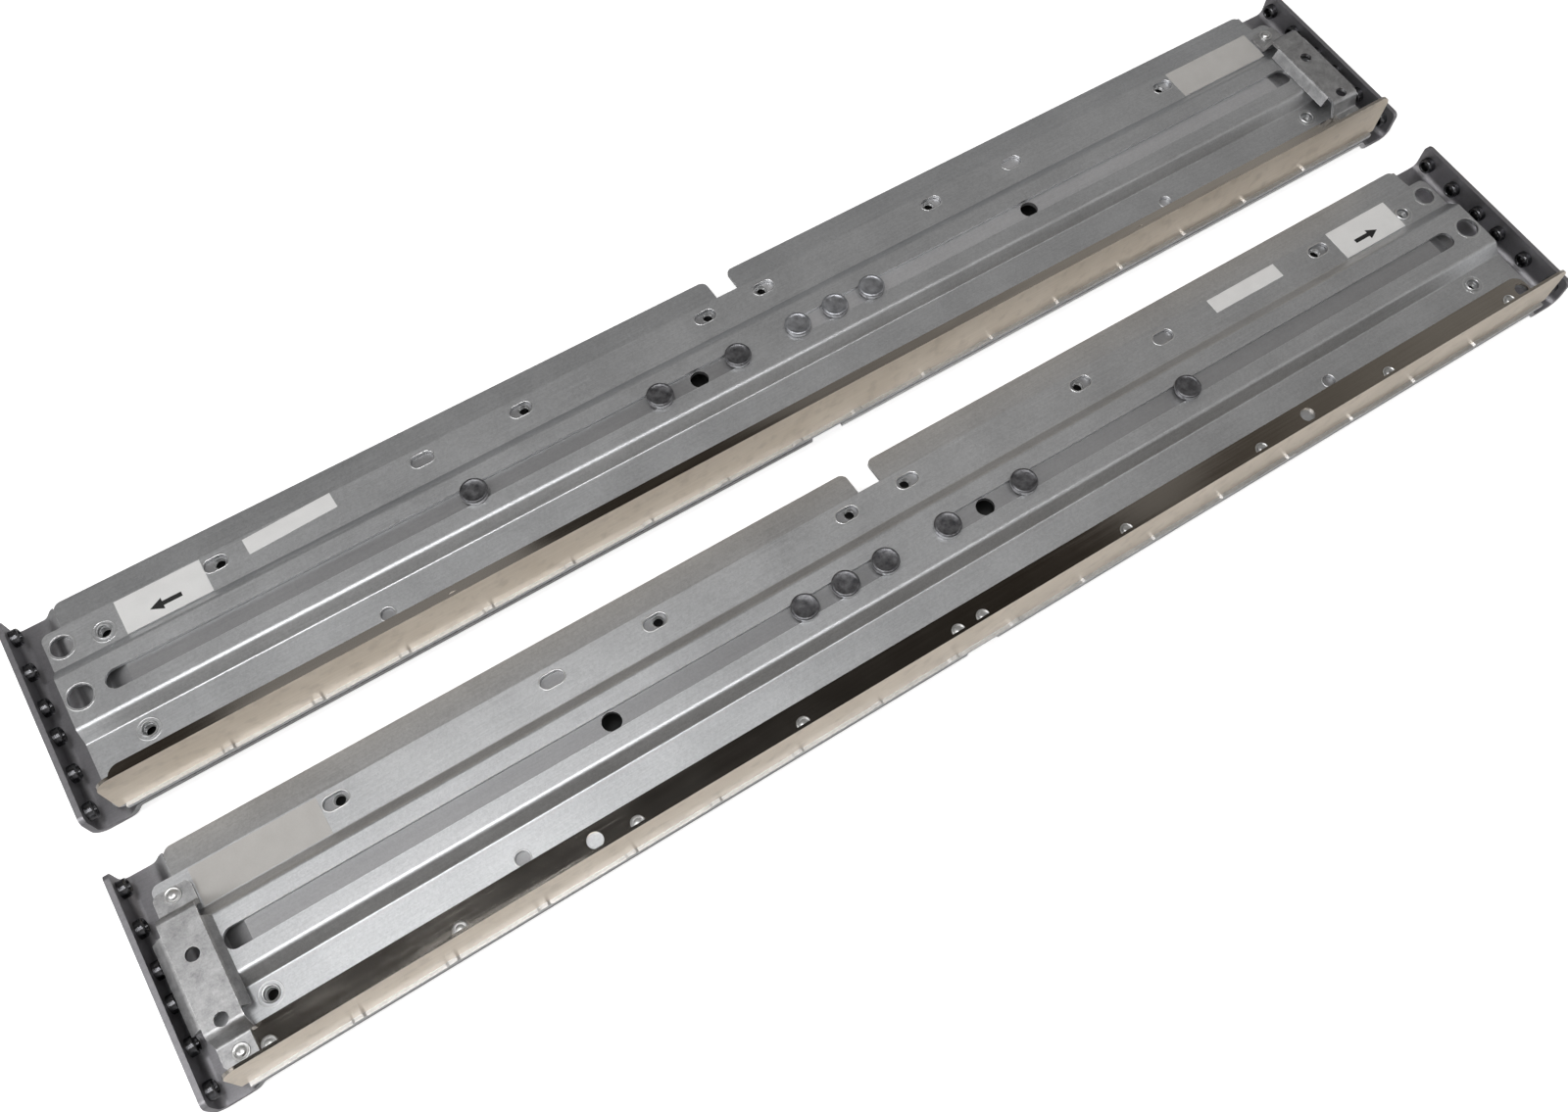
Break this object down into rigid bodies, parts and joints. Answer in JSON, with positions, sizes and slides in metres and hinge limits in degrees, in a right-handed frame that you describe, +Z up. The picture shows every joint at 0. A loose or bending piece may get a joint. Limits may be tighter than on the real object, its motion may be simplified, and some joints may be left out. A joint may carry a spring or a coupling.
{
  "type": "sliding server rail pair",
  "caption": "Pair of length-adjustable server rack rails: ribbed channels with a bright ledge, and sliding end brackets with threaded rack ears.",
  "frame": {"origin": "centre of the pair's footprint, on the surface that the rails lie on", "axes": "+X along the rails, towards the front end of the right rail; +Y across them, from the right rail to the left one; +Z up, away from the surface, on the side that faces the server"},
  "size_m": [0.61, 0.1972, 0.0333],
  "materials": {
    "galvanised_steel": "satin zinc-coated sheet",
    "bright_stainless": "bright annealed, near mirror",
    "bright_rivet": "bright turned steel",
    "plated_steel": "dull zinc plate",
    "bracket_steel": "smooth dull zinc plate",
    "dark_nut": "dark oiled steel",
    "dark_stud": "dark phosphated steel, bright rim",
    "white_label": "matt film",
    "grey_label": "matt film"
  },
  "bodies": {
    "rails": {"left_channel": "galvanised_steel", "left_ledge_angle": "bright_stainless", "left_ledge_rivets": "bright_rivet", "left_hat_bracket": "plated_steel", "left_hat_rivets": "bright_rivet", "left_direction_label": "white_label", "left_part_label": "white_label", "left_rear_label": "grey_label", "right_channel": "galvanised_steel", "right_ledge_angle": "bright_stainless", "right_ledge_rivets": "bright_rivet", "right_hat_bracket": "plated_steel", "right_hat_rivets": "bright_rivet", "right_direction_label": "white_label", "right_part_label": "white_label", "right_rear_label": "grey_label"},
    "left_front_slider": {"left_front_bracket": "bracket_steel", "left_front_ear_nuts": "dark_nut", "left_front_studs": "dark_stud"},
    "left_rear_slider": {"left_rear_bracket": "bracket_steel", "left_rear_ear_nuts": "dark_nut", "left_rear_studs": "dark_stud"},
    "right_front_slider": {"right_front_bracket": "bracket_steel", "right_front_ear_nuts": "dark_nut", "right_front_studs": "dark_stud"},
    "right_rear_slider": {"right_rear_bracket": "bracket_steel", "right_rear_ear_nuts": "dark_nut", "right_rear_studs": "dark_stud"}
  },
  "joints": [
    {"name": "left_front_slide", "type": "slide", "parent": "rails", "child": "left_front_slider", "axis": [-1, 0, 0], "range_m": [0, 0.1428]},
    {"name": "left_rear_slide", "type": "slide", "parent": "rails", "child": "left_rear_slider", "axis": [1, 0, 0], "range_m": [0, 0.2226]},
    {"name": "right_front_slide", "type": "slide", "parent": "rails", "child": "right_front_slider", "axis": [1, 0, 0], "range_m": [0, 0.1428]},
    {"name": "right_rear_slide", "type": "slide", "parent": "rails", "child": "right_rear_slider", "axis": [-1, 0, 0], "range_m": [0, 0.2226]}
  ]
}
